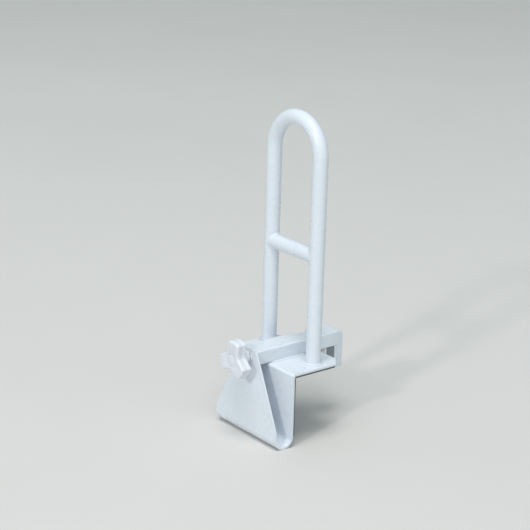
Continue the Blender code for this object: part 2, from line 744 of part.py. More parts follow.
def knob_cap():
    """Shallow domed cap that covers the screw head."""
    steps = ((KNOB_FACE - 0.8, 2.5), (KNOB_FACE - 0.6, 5.0), (KNOB_FACE - 0.1, 7.6),
             (KNOB_FACE + 0.6, CAP_R), (KNOB_FACE + 3.0, CAP_R))
    return loft([circle_y(r, y, 24, 0.0, AXIS_Z) for y, r in steps])


finish_object("knob_cap", knob_cap(), PLASTIC, PIVOT)
thrust_ring = ring_y(10.0, SCREW_BORE, WASHER_Y - 1.5, WASHER_Y, 24, AXIS_Z, 0.3)
finish_object("thrust_washer", thrust_ring, STEEL, PIVOT)
slip_ring = ring_y(10.4, SCREW_BORE, NYLON_Y - 1.5, NYLON_Y, 24, AXIS_Z, 0.3)
finish_object("nylon_washer", slip_ring, NYLON, PIVOT)


def retaining_clip():
    """Split ring in the screw's groove, just inside the front sheet."""
    count = 18
    rings = []
    for i in range(count + 1):
        angle = math.radians(300.0 + 300.0 * i / count)
        c = math.cos(angle)
        s = math.sin(angle)
        ring = []
        for radius, y in ((4.5, CLIP_Y), (8.0, CLIP_Y), (8.0, CLIP_Y + 1.2), (4.5, CLIP_Y + 1.2)):
            ring.append((radius * c, y, AXIS_Z + radius * s))
        rings.append(ring)
    return loft(rings)


finish_object("retaining_clip", retaining_clip(), STEEL, PIVOT)
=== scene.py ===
import math

import bmesh
import bpy
from mathutils import Matrix, Vector


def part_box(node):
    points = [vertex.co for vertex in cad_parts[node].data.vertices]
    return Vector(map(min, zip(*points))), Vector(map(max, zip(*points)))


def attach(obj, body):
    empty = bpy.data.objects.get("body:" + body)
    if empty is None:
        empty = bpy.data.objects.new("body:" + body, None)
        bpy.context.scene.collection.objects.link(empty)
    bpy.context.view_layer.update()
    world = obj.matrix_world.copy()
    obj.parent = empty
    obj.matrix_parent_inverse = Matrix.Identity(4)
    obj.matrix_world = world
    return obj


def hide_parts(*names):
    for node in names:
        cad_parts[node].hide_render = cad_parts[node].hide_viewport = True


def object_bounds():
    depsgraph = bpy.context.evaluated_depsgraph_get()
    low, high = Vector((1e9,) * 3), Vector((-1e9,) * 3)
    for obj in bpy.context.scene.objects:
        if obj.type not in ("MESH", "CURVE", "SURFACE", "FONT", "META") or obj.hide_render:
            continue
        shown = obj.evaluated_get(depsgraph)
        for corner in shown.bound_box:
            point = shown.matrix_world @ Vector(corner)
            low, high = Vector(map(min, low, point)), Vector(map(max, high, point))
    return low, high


# Clamp-on bath grab rail: the looks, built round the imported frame.
# Lengths are metres; MM turns a size in millimetres into metres.
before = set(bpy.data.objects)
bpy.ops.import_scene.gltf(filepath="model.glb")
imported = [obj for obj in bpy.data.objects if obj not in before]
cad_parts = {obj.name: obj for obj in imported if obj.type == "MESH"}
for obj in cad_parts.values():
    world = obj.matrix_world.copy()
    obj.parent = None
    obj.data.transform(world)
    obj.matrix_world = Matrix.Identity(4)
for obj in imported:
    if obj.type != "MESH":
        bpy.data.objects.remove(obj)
CAD_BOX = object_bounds()

MM = 0.001
GAP = 0.3 * MM
SHEET = 3.0 * MM

# ---------------------------------------------------------------- places read from the frame
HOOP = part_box("rail_hoop")
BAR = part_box("rail_crossbar")
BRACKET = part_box("folded_bracket")
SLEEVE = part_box("guide_sleeve")
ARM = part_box("clamp_arm")
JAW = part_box("jaw_bracket")
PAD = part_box("jaw_pad")
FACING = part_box("pad_facing")
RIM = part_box("rim_pad")
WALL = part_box("wall_pad")
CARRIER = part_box("pad_plate")
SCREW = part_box("clamp_screw")
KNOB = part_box("star_knob")
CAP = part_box("knob_cap")
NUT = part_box("nut_block")

TUBE_R = (HOOP[1].y - HOOP[0].y) / 2
TUBE_IN = TUBE_R - 1.6 * MM
RAIL_X = HOOP[1].x - TUBE_R
RAIL_Y = (HOOP[0].y + HOOP[1].y) / 2
RAIL_FOOT = HOOP[0].z
ARCH_Z = HOOP[1].z - TUBE_R - RAIL_X
BAR_Z = (BAR[0].z + BAR[1].z) / 2
PLATE_TOP = RAIL_FOOT - GAP
OUTER_Y = WALL[0].y - GAP - SHEET
FRONT_IN = SLEEVE[0].y - GAP
AXIS_Z = (SLEEVE[0].z + SLEEVE[1].z) / 2
BEND_IN = 12.0 * MM
BEND_Z = BRACKET[0].z + BEND_IN + SHEET
BEND_Y = OUTER_Y - BEND_IN
SCREW_R = 5.0 * MM
SCREW_BORE = SCREW_R + GAP
FRONT_HOLE_R = 5.6 * MM
PAD_HOLE_R = 2.8 * MM
TUBE_WALL = 2.0 * MM
ARM_CORNER = 1.8 * MM
SEAT_DEPTH = 8.8 * MM
SIDES = (("left", -1), ("right", 1))


# ---------------------------------------------------------------- node materials
class Graph:
    """Small helper that adds and joins shader nodes."""

    def __init__(self, name):
        self.mat = bpy.data.materials.new(name)
        self.mat.use_nodes = True
        self.tree = self.mat.node_tree
        self.shader = self.tree.nodes["Principled BSDF"]
        self.place = self.tree.nodes.new("ShaderNodeTexCoord").outputs["Object"]

    def node(self, kind, **values):
        made = self.tree.nodes.new(kind)
        for key, value in values.items():
            setattr(made, key, value)
        return made

    def link(self, source, target):
        self.tree.links.new(source, target)

    def stretch(self, scale):
        mapping = self.node("ShaderNodeMapping")
        mapping.inputs["Scale"].default_value = scale
        self.link(self.place, mapping.inputs["Vector"])
        return mapping.outputs["Vector"]

    def noise(self, scale, detail=3.0, rough=0.5, place=None, warp=0.0):
        made = self.node("ShaderNodeTexNoise")
        made.inputs["Scale"].default_value = scale
        made.inputs["Detail"].default_value = detail
        made.inputs["Roughness"].default_value = rough
        made.inputs["Distortion"].default_value = warp
        self.link(place or self.place, made.inputs["Vector"])
        return made.outputs["Fac"]

    def voronoi(self, scale):
        made = self.node("ShaderNodeTexVoronoi", feature="F1")
        made.inputs["Scale"].default_value = scale
        self.link(self.place, made.inputs["Vector"])
        return made.outputs["Distance"]

    def ramp(self, source, stops):
        made = self.node("ShaderNodeValToRGB")
        bar = made.color_ramp
        while len(bar.elements) < len(stops):
            bar.elements.new(0.5)
        for element, (place, colour) in zip(bar.elements, stops):
            element.position = place
            element.color = (*colour, 1.0)
        self.link(source, made.inputs["Fac"])
        return made.outputs["Color"]

    def span(self, source, low, high, start=0.0, end=1.0):
        made = self.node("ShaderNodeMapRange")
        made.inputs["From Min"].default_value = start
        made.inputs["From Max"].default_value = end
        made.inputs["To Min"].default_value = low
        made.inputs["To Max"].default_value = high
        self.link(source, made.inputs["Value"])
        return made.outputs["Result"]

    def mix(self, factor, tone, colour):
        """Blend a plain colour into a tone."""
        made = self.node("ShaderNodeMix", data_type="RGBA", blend_type="MIX")
        self.link(factor, made.inputs["Factor"])
        under, over = [socket for socket in made.inputs if socket.type == "RGBA"]
        self.link(tone, under)
        over.default_value = (*colour, 1.0)
        return [socket for socket in made.outputs if socket.type == "RGBA"][0]

    def maths(self, operation, one, two):
        made = self.node("ShaderNodeMath", operation=operation)
        for index, value in enumerate((one, two)):
            if isinstance(value, (int, float)):
                made.inputs[index].default_value = value
            else:
                self.link(value, made.inputs[index])
        return made.outputs[0]

    def bump(self, source, strength, distance, after=None):
        made = self.node("ShaderNodeBump")
        made.inputs["Strength"].default_value = strength
        made.inputs["Distance"].default_value = distance
        self.link(source, made.inputs["Height"])
        if after is not None:
            self.link(after, made.inputs["Normal"])
        return made.outputs["Normal"]


def powder_coat(name, light, dark, gloss=(0.24, 0.36)):
    """Satin powder coat: faint orange peel, slow drift of tone, sparse specks of dust in the film."""
    g = Graph(name)
    drift = g.noise(26.0, 4.0, 0.6, warp=0.4)
    tone = g.ramp(drift, ((0.30, dark), (0.70, light)))
    mottling = g.noise(420.0, 2.0, 0.5)
    tone = g.mix(g.span(mottling, 0.0, 0.10, 0.35, 0.75), tone, tuple(c * 0.96 for c in dark))
    speck = g.voronoi(310.0)
    speck = g.span(speck, 1.0, 0.0, 0.012, 0.05)
    patches = g.span(g.noise(90.0, 2.0), 0.0, 1.0, 0.60, 0.72)
    tone = g.mix(g.maths("MULTIPLY", speck, g.maths("MULTIPLY", patches, 0.10)), tone, (0.66, 0.71, 0.75))
    g.link(tone, g.shader.inputs["Base Color"])
    g.link(g.span(g.noise(60.0, 4.0), gloss[0], gloss[1], 0.3, 0.7), g.shader.inputs["Roughness"])
    peel = g.bump(g.noise(620.0, 2.0, 0.45), 0.07, 0.00014)
    g.link(g.bump(g.noise(2600.0, 1.0, 0.5), 0.05, 0.00005, peel), g.shader.inputs["Normal"])
    g.shader.inputs["Specular IOR Level"].default_value = 0.5
    return g.mat


def moulded_plastic(name, light, dark):
    """White moulded plastic: soft flow marks, fine grain and a little light through the skin."""
    g = Graph(name)
    flow = g.noise(70.0, 3.0, 0.5, g.stretch((1.0, 0.35, 1.0)), 1.2)
    tone = g.ramp(flow, ((0.32, dark), (0.68, light)))
    grain = g.noise(1900.0, 3.0, 0.6)
    tone = g.mix(g.span(grain, 0.0, 0.08, 0.4, 0.8), tone, tuple(c * 0.9 for c in dark))
    g.link(tone, g.shader.inputs["Base Color"])
    g.link(g.span(g.noise(240.0, 3.0), 0.30, 0.44, 0.3, 0.7), g.shader.inputs["Roughness"])
    g.link(g.bump(grain, 0.22, 0.00009), g.shader.inputs["Normal"])
    g.shader.inputs["Subsurface Weight"].default_value = 0.06
    g.shader.inputs["Subsurface Radius"].default_value = (0.004, 0.004, 0.005)
    g.shader.inputs["Subsurface Scale"].default_value = 0.5
    return g.mat


def rubber(name, light, dark):
    """Matt rubber with a fine cloth-moulded grain and pale bloom in patches."""
    g = Graph(name)
    tone = g.ramp(g.noise(48.0, 5.0, 0.6), ((0.30, dark), (0.72, light)))
    bloom = g.span(g.noise(140.0, 4.0, 0.7), 0.0, 0.30, 0.50, 0.82)
    tone = g.mix(bloom, tone, tuple(min(1.0, c * 1.7 + 0.02) for c in light))
    g.link(tone, g.shader.inputs["Base Color"])
    g.link(g.span(g.noise(300.0, 3.0), 0.62, 0.84, 0.3, 0.7), g.shader.inputs["Roughness"])
    grain = g.bump(g.voronoi(1500.0), 0.35, 0.00012)
    g.link(g.bump(g.noise(420.0, 4.0, 0.6), 0.20, 0.0002, grain), g.shader.inputs["Normal"])
    g.shader.inputs["Specular IOR Level"].default_value = 0.35
    return g.mat


def zinc(name, stretch=(1.0, 0.06, 1.0)):
    """Bright zinc plate: turned or drawn streaks under blue-grey and faintly warm clouds."""
    g = Graph(name)
    cloud = g.noise(110.0, 4.0, 0.6, warp=0.8)
    tones = ((0.28, (0.50, 0.52, 0.56)), (0.52, (0.66, 0.67, 0.69)), (0.74, (0.70, 0.69, 0.65)))
    tone = g.ramp(cloud, tones)
    g.link(tone, g.shader.inputs["Base Color"])
    streak = g.noise(1300.0, 4.0, 0.65, g.stretch(stretch))
    g.link(g.span(streak, 0.22, 0.46, 0.25, 0.75), g.shader.inputs["Roughness"])
    g.link(g.bump(streak, 0.16, 0.00006), g.shader.inputs["Normal"])
    g.shader.inputs["Metallic"].default_value = 1.0
    return g.mat


def nylon(name):
    """Natural nylon: near-white, finely grained, a little light through the skin."""
    g = Graph(name)
    tone = g.ramp(g.noise(160.0, 3.0), ((0.3, (0.78, 0.78, 0.76)), (0.7, (0.85, 0.85, 0.84))))
    g.link(tone, g.shader.inputs["Base Color"])
    g.link(g.span(g.noise(700.0), 0.38, 0.52, 0.3, 0.7), g.shader.inputs["Roughness"])
    g.link(g.bump(g.noise(1500.0, 3.0), 0.2, 0.00006), g.shader.inputs["Normal"])
    g.shader.inputs["Subsurface Weight"].default_value = 0.1
    g.shader.inputs["Subsurface Radius"].default_value = (0.003, 0.003, 0.003)
    g.shader.inputs["Subsurface Scale"].default_value = 0.5
    return g.mat


def studio_floor(name):
    """Pale matt floor with a slow drift of tone."""
    g = Graph(name)
    tone = g.ramp(g.noise(1.3, 5.0, 0.6), ((0.3, (0.660, 0.637, 0.622)), (0.7, (0.685, 0.662, 0.647))))
    g.link(tone, g.shader.inputs["Base Color"])
    g.link(g.span(g.noise(14.0, 4.0), 0.62, 0.74, 0.3, 0.7), g.shader.inputs["Roughness"])
    g.link(g.bump(g.noise(260.0, 4.0), 0.05, 0.0004), g.shader.inputs["Normal"])
    return g.mat


COAT = powder_coat("white_powder_coat", (0.722, 0.770, 0.837), (0.705, 0.755, 0.824))
COAT_WELD = powder_coat("powder_coat_over_weld", (0.719, 0.767, 0.834), (0.699, 0.748, 0.818),
                        (0.22, 0.34))
PLASTIC = moulded_plastic("knob_plastic_white", (0.755, 0.780, 0.845), (0.722, 0.750, 0.820))
RUBBER = rubber("grey_rubber", (0.115, 0.125, 0.130), (0.075, 0.083, 0.088))
# Jaw block: grey rubber whose colour is also darkened and tinted blue-grey as painted shade, standing for
# the deep shade beside the jaw.
BLOCK_RUBBER_WITH_PAINTED_SHADE = rubber("jaw_block_rubber_and_painted_shade", (0.215, 0.255, 0.285), (0.165, 0.200, 0.225))
PALE_RUBBER = rubber("pale_facing_rubber", (0.885, 0.890, 0.895), (0.850, 0.858, 0.866))
ZINC = zinc("zinc_plate_turned")
ZINC_FLAT = zinc("zinc_plate_rolled", (0.08, 1.0, 1.0))
NYLON = nylon("natural_nylon")


# ---------------------------------------------------------------- mesh helpers
def loft(rings, cyclic=False):
    """Skin equal rings of points; a cyclic loft joins the last ring to the first."""
    bm = bmesh.new()
    rows = [[bm.verts.new(p) for p in ring] for ring in rings]
    count = len(rows[0])
    for i in range(len(rows) if cyclic else len(rows) - 1):
        near = rows[i]
        far = rows[(i + 1) % len(rows)]
        for j in range(count):
            k = (j + 1) % count
            bm.faces.new((near[j], near[k], far[k], far[j]))
    if not cyclic:
        bm.faces.new(rows[0])
        bm.faces.new(list(reversed(rows[-1])))
    return bm


def piece(name, bm, mat, body, nodes, bevel=0.0, segments=2, angle=32.0, sharp=38.0):
    """Make a smooth-shaded piece that rides on a body and stands for CAD nodes."""
    bmesh.ops.remove_doubles(bm, verts=bm.verts, dist=1e-6)
    bmesh.ops.recalc_face_normals(bm, faces=bm.faces)
    for face in bm.faces:
        face.smooth = True
    if not bevel:
        for edge in bm.edges:
            edge.smooth = edge.calc_face_angle(0.0) < math.radians(sharp)
    mesh = bpy.data.meshes.new(name)
    bm.to_mesh(mesh)
    bm.free()
    obj = bpy.data.objects.new(name, mesh)
    bpy.context.scene.collection.objects.link(obj)
    mesh.materials.append(mat)
    if bevel:
        soften(obj, bevel, segments, angle)
    if body:
        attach(obj, body)
        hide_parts(*nodes)
    return obj


def soften(obj, width, segments, angle):
    """Ease the edges that turn more sharply than the angle, in degrees."""
    edge = obj.modifiers.new("eased_edges", "BEVEL")
    edge.width = width
    edge.segments = segments
    edge.limit_method = "ANGLE"
    edge.angle_limit = math.radians(angle)
    edge.use_clamp_overlap = True
    edge.miter_outer = "MITER_ARC"
    normals = obj.modifiers.new("weighted_normals", "WEIGHTED_NORMAL")
    normals.weight = 80
    normals.keep_sharp = False


def drill(obj, tools):
    """Cut closed tool meshes out of a piece and apply the result."""
    for tool_bm in tools:
        bmesh.ops.recalc_face_normals(tool_bm, faces=tool_bm.faces)
        mesh = bpy.data.meshes.new("tool")
        tool_bm.to_mesh(mesh)
        tool_bm.free()
        tool = bpy.data.objects.new("tool", mesh)
        bpy.context.scene.collection.objects.link(tool)
        kept = list(obj.modifiers)
        shown = [m.show_viewport for m in kept]
        for m in kept:
            m.show_viewport = False
        cutter = obj.modifiers.new("cut", "BOOLEAN")
        cutter.operation = "DIFFERENCE"
        cutter.solver = "EXACT"
        cutter.object = tool
        bpy.context.view_layer.update()
        graph = bpy.context.evaluated_depsgraph_get()
        result = bpy.data.meshes.new_from_object(obj.evaluated_get(graph))
        obj.modifiers.remove(cutter)
        for m, on in zip(kept, shown):
            m.show_viewport = on
        old = obj.data
        name = old.name
        obj.data = result
        bpy.data.meshes.remove(old)
        result.name = name
        for polygon in result.polygons:
            polygon.use_smooth = True
        bpy.data.objects.remove(tool, do_unlink=True)
        bpy.data.meshes.remove(mesh)


def ring_y(radius, y, count, z):
    """Circle of points about an axis parallel to Y, at a height z."""
    turn = 2 * math.pi / count
    return [(radius * math.cos(turn * i), y, z + radius * math.sin(turn * i)) for i in range(count)]


def lathe_y(profile, count, z, cyclic=False):
    """Turn (y, radius) pairs about an axis parallel to Y, at a height z."""
    return loft([ring_y(r, y, count, z) for y, r in profile], cyclic)


def bore(radius, y0, y1, count, z):
    """Cylinder along Y, for drilling."""
    return lathe_y([(y0, radius), (y1, radius)], count, z)


def rounded_rect(width, height, radius, steps):
    """Closed outline of a rectangle with round corners, centred on the origin."""
    points = []
    for sx, sz, start in ((1, 1, 0), (-1, 1, 90), (-1, -1, 180), (1, -1, 270)):
        cx = sx * (width / 2 - radius)
        cz = sz * (height / 2 - radius)
        for i in range(steps + 1):
            a = math.radians(start + 90 * i / steps)
            points.append((cx + radius * math.cos(a), cz + radius * math.sin(a)))
    return points


def rounded_ring(lo, hi, y, corner):
    """Rounded rectangle that fills a box's width and height, at one y."""
    mid_x, mid_z = (lo.x + hi.x) / 2, (lo.z + hi.z) / 2
    return [(mid_x + a, y, mid_z + b) for a, b in rounded_rect(hi.x - lo.x, hi.z - lo.z, corner, 5)]


def unit(v):
    return v.normalized() if v.length else v


# ---------------------------------------------------------------- rail: hoop and crossbar
def hoop_tube():
    """Hollow hoop: two straight legs joined by half a circle."""
    around = 64
    path = []
    straight = [RAIL_FOOT, RAIL_FOOT + 4 * MM]
    straight += [RAIL_FOOT + (ARCH_Z - RAIL_FOOT) * k / 12 for k in range(1, 12)]
    for z in straight:
        path.append(((-RAIL_X, z), (-1.0, 0.0)))
    arch_steps = 72
    for i in range(arch_steps + 1):
        a = math.pi * (1 - i / arch_steps)
        out = (math.cos(a), math.sin(a))
        path.append(((RAIL_X * out[0], ARCH_Z + RAIL_X * out[1]), out))
    for z in reversed(straight):
        path.append(((RAIL_X, z), (1.0, 0.0)))

    def section(centre, out, radius):
        ring = []
        for j in range(around):
            t = 2 * math.pi * j / around
            reach = radius * math.cos(t)
            x = centre[0] + out[0] * reach
            z = centre[1] + out[1] * reach
            ring.append((x, RAIL_Y + radius * math.sin(t), z))
        return ring

    rings = [section(c, o, TUBE_R) for c, o in path]
    rings += [section(c, o, TUBE_IN) for c, o in reversed(path)]
    return loft(rings, cyclic=True)


piece("hoop_tube", hoop_tube(), COAT, "bracket", ["rail_hoop"])


def crossbar_tube():
    """Hollow bar whose ends are coped to the legs of the hoop."""
    around = 64

    def section(share, radius):
        ring = []
        for j in range(around):
            t = 2 * math.pi * j / around
            across = radius * math.sin(t)
            reach = RAIL_X - math.sqrt((TUBE_R + GAP) ** 2 - across ** 2)
            ring.append((share * reach, RAIL_Y + across, BAR_Z + radius * math.cos(t)))
        return ring

    shares = (-1.0, -0.97, -0.6, -0.2, 0.2, 0.6, 0.97, 1.0)
    rings = [section(s, TUBE_R) for s in shares]
    rings += [section(s, TUBE_IN) for s in reversed(shares)]
    return loft(rings, cyclic=True)


piece("crossbar_tube", crossbar_tube(), COAT, "bracket", ["rail_crossbar"])


# ---------------------------------------------------------------- welds: rippled fillets under the coat
def ripple(angle, count, depth):
    """Overlapping puddles of a weld: steep on one side, slow on the other."""
    share = (angle * count / (2 * math.pi)) % 1.0
    return depth * (1.0 - share) ** 1.5


def foot_weld(side):
    """Rippled fillet round the foot of a leg."""
    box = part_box("weld_upright_right" if side > 0 else "weld_upright_left")
    leg = box[1].z - box[0].z
    inner = (box[1].x - box[0].x) / 2 - leg
    steps = 312
    rings = []
    for i in range(steps):
        a = 2 * math.pi * i / steps
        wave = ripple(a, 39, 0.28 * MM) + 0.10 * MM * math.sin(3 * a + side)
        ring = [(inner, box[0].z)]
        for k in range(7):
            t = math.pi / 2 * k / 6
            bulge = 0.50 + 0.22 * math.sin(2 * t)
            reach = (leg - wave) * (bulge if 0 < k < 6 else 1.0)
            ring.append((inner + reach * math.cos(t), box[0].z + reach * math.sin(t)))
        rings.append([(side * RAIL_X + r * math.cos(a), RAIL_Y + r * math.sin(a), z) for r, z in ring])
    return loft(rings, cyclic=True)


def saddle_weld(side):
    """Shallow fillet where the crossbar meets an upright; it thins out on the flat sides."""
    leg = 2.1 * MM
    lift = 0.03 * MM
    steps = 320
    saddle = []
    for i in range(steps):
        t = 2 * math.pi * i / steps
        soft = math.sqrt(math.cos(t) ** 2 + 0.0025)
        bar_out = Vector((0.0, math.sin(t), math.cos(t)))
        post_out = unit(Vector((-side * soft, math.sin(t), 0.0)))
        here = Vector((side * (RAIL_X - TUBE_R * soft), RAIL_Y, BAR_Z)) + bar_out * TUBE_R
        saddle.append((here, bar_out, post_out))
    rings = []
    for i, (here, bar_out, post_out) in enumerate(saddle):
        along = unit(saddle[(i + 1) % steps][0] - saddle[i - 1][0])
        on_bar = unit(along.cross(bar_out)) * -side
        on_post = unit(along.cross(post_out)) * side
        outward = unit(bar_out + post_out)
        reach = leg - ripple(2 * math.pi * i / steps, 40, 0.18 * MM)
        ring = [here + outward * lift]
        for k in range(9):
            t = math.pi / 2 * k / 8
            fill = 1.0 - 0.42 * math.sin(2 * t)
            point = here + (on_bar * math.cos(t) + on_post * math.sin(t)) * (reach * fill)
            point += outward * (lift + 0.30 * MM * math.sin(2 * t))
            if k == 0:
                spoke = Vector((0.0, point.y - RAIL_Y, point.z - BAR_Z))
                point += unit(spoke) * (TUBE_R + lift - spoke.length)
            if k == 8:
                spoke = Vector((point.x - side * RAIL_X, point.y - RAIL_Y, 0.0))
                point += unit(spoke) * (TUBE_R + lift - spoke.length)
            ring.append(point)
        rings.append(ring)
    return loft(rings, cyclic=True)


for label, side in SIDES:
    piece("foot_weld_" + label, foot_weld(side), COAT_WELD,
          "bracket", ["weld_upright_" + label])
    piece("saddle_weld_" + label, saddle_weld(side), COAT_WELD,
          "bracket", ["weld_crossbar_" + label])


def straight_weld(side):
    """Rippled fillet between the sleeve's side and the rim plate, thinner at both ends."""
    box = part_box("weld_sleeve_right" if side > 0 else "weld_sleeve_left")
    near = box[0].x if side > 0 else box[1].x
    leg = box[1].z - box[0].z
    length = box[1].y - box[0].y
    steps = 220
    rings = []
    for i in range(steps + 1):
        share = i / steps
        end = min(1.0, 9 * share + 0.25, 9 * (1 - share) + 0.25)
        wave = ripple(2 * math.pi * share, 26, 0.26 * MM)
        ring = [(near, box[0].y + length * share, box[0].z)]
        for k in range(6):
            t = math.pi / 2 * k / 5
            reach = (leg - wave) * end * (1.0 if k in (0, 5) else 0.50 + 0.20 * math.sin(2 * t))
            across = near + side * reach * math.cos(t)
            ring.append((across, box[0].y + length * share, box[0].z + reach * math.sin(t)))
        rings.append(ring)
    return loft(rings)


for label, side in SIDES:
    piece("sleeve_weld_" + label, straight_weld(side), COAT_WELD,
          "bracket", ["weld_sleeve_" + label])


def front_weld():
    """Ground bead along the top edge where the front sheet meets the sleeve."""
    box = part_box("weld_sleeve_front")
    half = box[1].x
    mid = (box[0].y + box[1].y) / 2
    wide = (box[1].y - box[0].y) / 2
    tall = box[1].z - box[0].z
    steps = 90
    rings = []
    for i in range(steps + 1):
        share = i / steps
        end = max(0.05, math.sqrt(max(0.0, 1 - abs(2 * share - 1) ** 6)))
        high = (tall - ripple(2 * math.pi * share, 12, 0.12 * MM)) * end
        ring = []
        for k in range(9):
            t = math.pi * k / 8
            x = -half + 2 * half * share
            ring.append((x, mid + wide * end * math.cos(t), box[0].z + high * math.sin(t)))
        rings.append(ring)
    return loft(rings)


piece("front_sheet_weld", front_weld(), COAT_WELD, "bracket", ["weld_sleeve_front"])


# ---------------------------------------------------------------- folded bracket
def bracket_sheet():
    """Folded sheet from stations: point on the line, direction of the thickness, half width."""
    half = BRACKET[1].x
    far = BRACKET[1].y
    cut_x, cut_y = 16.8 * MM, 13.5 * MM
    fold = 4.0 * MM
    foot_half = 69.8 * MM
    top_half = SLEEVE[1].x
    top_z = BRACKET[1].z
    break_z = top_z - 30.0 * MM
    stations = []
    flat = (0.0, -1.0)
    slope = math.atan2(cut_x, cut_y)
    soft = 2.5 * MM
    corners = (((half - cut_x, far), math.pi / 2, slope), ((half, far - cut_y), slope, 0.0))
    for (x, y), start, end in corners:
        share = soft / (1 + math.cos(start - end))
        x -= share * (math.cos(start) + math.cos(end))
        y -= share * (math.sin(start) + math.sin(end))
        for i in range(7):
            a = start + (end - start) * i / 6
            stations.append(((y + soft * math.sin(a), PLATE_TOP), flat, x + soft * math.cos(a)))
    low_y = stations[-1][0][0]
    for k in range(1, 6):
        y = low_y + (OUTER_Y + fold - low_y) * k / 6
        stations.append(((y, PLATE_TOP), flat, half))
    for i in range(13):
        a = math.radians(90 + 90 * i / 12)
        out = (math.cos(a), math.sin(a))
        point = (OUTER_Y + fold + fold * out[0], PLATE_TOP - fold + fold * out[1])
        stations.append((point, (-out[0], -out[1]), half))
    for k in range(1, 6):
        z = PLATE_TOP - fold + (BEND_Z - PLATE_TOP + fold) * k / 6
        stations.append(((OUTER_Y, z), (1.0, 0.0), half))
    for i in range(33):
        share = i / 32
        a = -math.pi * share
        out = (math.cos(a), math.sin(a))
        point = (BEND_Y + BEND_IN * out[0], BEND_Z + BEND_IN * out[1])
        stations.append((point, out, half + (foot_half - half) * share))
    foot_y = BEND_Y - BEND_IN
    tall = break_z - BEND_Z
    slope_start = BEND_Z + 11.0 * MM
    tilt = math.atan2(FRONT_IN - foot_y, tall)
    for k in range(9):
        z = slope_start + (break_z - slope_start) * k / 8
        y = foot_y + (FRONT_IN - foot_y) * (z - BEND_Z) / tall
        lean = tilt if k < 8 else tilt / 2
        width = foot_half + (top_half - foot_half) * (z - slope_start) / (top_z - slope_start)
        stations.append(((y, z), (-math.cos(lean), math.sin(lean)), width))
    stations.append(((FRONT_IN, top_z), (-1.0, 0.0), top_half))
    rings = []
    for point, out, wide in stations:
        other = (point[0] + out[0] * SHEET, point[1] + out[1] * SHEET)
        rings.append([(-wide, *point), (wide, *point), (wide, *other), (-wide, *other)])
    return loft(rings)


bracket = piece("bracket_sheet", bracket_sheet(), COAT,
                "bracket", ["folded_bracket"], 0.7 * MM, 3, 40.0)
drill(bracket, [bore(FRONT_HOLE_R, FRONT_IN - SHEET - 2 * MM, FRONT_IN + 2 * MM, 40, AXIS_Z)])


# ---------------------------------------------------------------- sleeve and arm
def rect_tube(box, corner, count):
    """Hollow section along Y with round corners, divided into equal lengths."""
    width = box[1].x - box[0].x
    height = box[1].z - box[0].z
    outer = rounded_rect(width, height, corner, 8)
    inner_corner = max(corner - TUBE_WALL, 0.5 * MM)
    inner = rounded_rect(width - 2 * TUBE_WALL, height - 2 * TUBE_WALL, inner_corner, 8)
    stops = [box[0].y + (box[1].y - box[0].y) * k / count for k in range(count + 1)]
    rings = [[(a, y, AXIS_Z + b) for a, b in outer] for y in stops]
    rings += [[(a, y, AXIS_Z + b) for a, b in inner] for y in reversed(stops)]
    return loft(rings, cyclic=True)


piece("sleeve_tube", rect_tube(SLEEVE, 2.5 * MM, 6), COAT,
      "bracket", ["guide_sleeve"], 0.45 * MM, 2, 50.0)
piece("arm_tube", rect_tube(ARM, ARM_CORNER, 8), COAT,
      "jaw", ["clamp_arm"], 0.4 * MM, 2, 50.0)


# ---------------------------------------------------------------- jaw
def jaw_channel():
    """Channel that runs out along the arm and turns down, with flanges on both sides."""
    wall = 2.0 * MM
    bend = 8.0 * MM
    fold = 2.2 * MM
    inner_corner = 1.0 * MM
    near, far = JAW[0].y, JAW[1].y
    top, foot = JAW[1].z, JAW[0].z
    half = JAW[1].x
    low = SLEEVE[0].z + GAP
    back = CARRIER[1].y + GAP
    stations = []
    for k in range(7):
        y = near + (back - near) * k / 7
        stations.append(((y, top), (0.0, -1.0), (y, low)))
    inner = (back - inner_corner, low - inner_corner)
    fan = [((back, top), (0.0, -1.0))]
    fan.append(((far - bend, top), (0.0, -1.0)))
    for i in range(1, 16):
        a = math.radians(90 - 90 * i / 16)
        out = (math.cos(a), math.sin(a))
        fan.append(((far - bend + bend * out[0], top - bend + bend * out[1]), (-out[0], -out[1])))
    fan.append(((far, top - bend), (-1.0, 0.0)))
    fan.append(((far, low), (-1.0, 0.0)))
    for index, (point, inward) in enumerate(fan):
        a = math.radians(90 - 90 * index / (len(fan) - 1))
        edge = (inner[0] + inner_corner * math.cos(a), inner[1] + inner_corner * math.sin(a))
        stations.append((point, inward, edge))
    for k in range(1, 8):
        z = low + (foot - low) * k / 7
        stations.append(((far, z), (-1.0, 0.0), (back, z)))
    rings = []
    for point, inward, edge in stations:
        ring = []
        for sx in (-1, 1):
            arc = []
            for i in range(5):
                a = math.radians(90 * i / 4)
                side = sx * (half - fold + fold * math.sin(a))
                drop = fold - fold * math.cos(a)
                arc.append((side, point[0] + inward[0] * drop, point[1] + inward[1] * drop))
            ring += list(reversed(arc)) if sx < 0 else arc
        ring.append((half, *edge))
        ring.append((half - wall, *edge))
        web = (point[0] + inward[0] * wall, point[1] + inward[1] * wall)
        ring.append((half - wall, *web))
        ring.append((-half + wall, *web))
        ring.append((-half + wall, *edge))
        ring.append((-half, *edge))
        rings.append(ring)
    return loft(rings)


SCREWS = [(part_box("pad_screw_" + label), label) for label in ("upper", "lower")]


def screw_bores(y0, y1, count):
    """One drilling tool for each of the two pad screws."""
    return [bore(PAD_HOLE_R, y0, y1, count, (box[0].z + box[1].z) / 2) for box, _ in SCREWS]


jaw = piece("jaw_channel", jaw_channel(), COAT, "jaw", ["jaw_bracket"], 0.45 * MM, 2, 40.0)
drill(jaw, screw_bores(JAW[1].y - 6 * MM, JAW[1].y + 2 * MM, 24))


